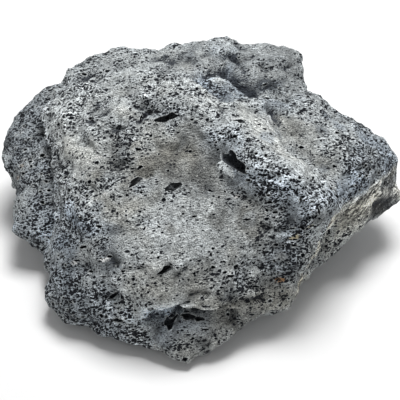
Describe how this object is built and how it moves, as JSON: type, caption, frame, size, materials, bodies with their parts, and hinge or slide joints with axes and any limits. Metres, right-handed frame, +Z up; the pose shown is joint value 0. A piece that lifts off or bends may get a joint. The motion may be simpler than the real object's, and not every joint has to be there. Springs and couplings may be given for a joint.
{
  "type": "lava rock",
  "caption": "Loose lump of rough grey vesicular basalt with a ridge, a smooth scoop, ledges and gas bubble pits, lying on its flattest face.",
  "frame": {"origin": "centre of the bounding box's base, on the flat face that the rock rests on", "axes": "+Z up from the resting face, +X along the rock's length towards its pointed end, +Y towards its high back crest"},
  "size_m": [0.257, 0.2072, 0.1071],
  "materials": {
    "stone": "matt, rough grey vesicular basalt"
  },
  "bodies": {
    "root": {"lava_rock": "stone"}
  },
  "joints": []
}
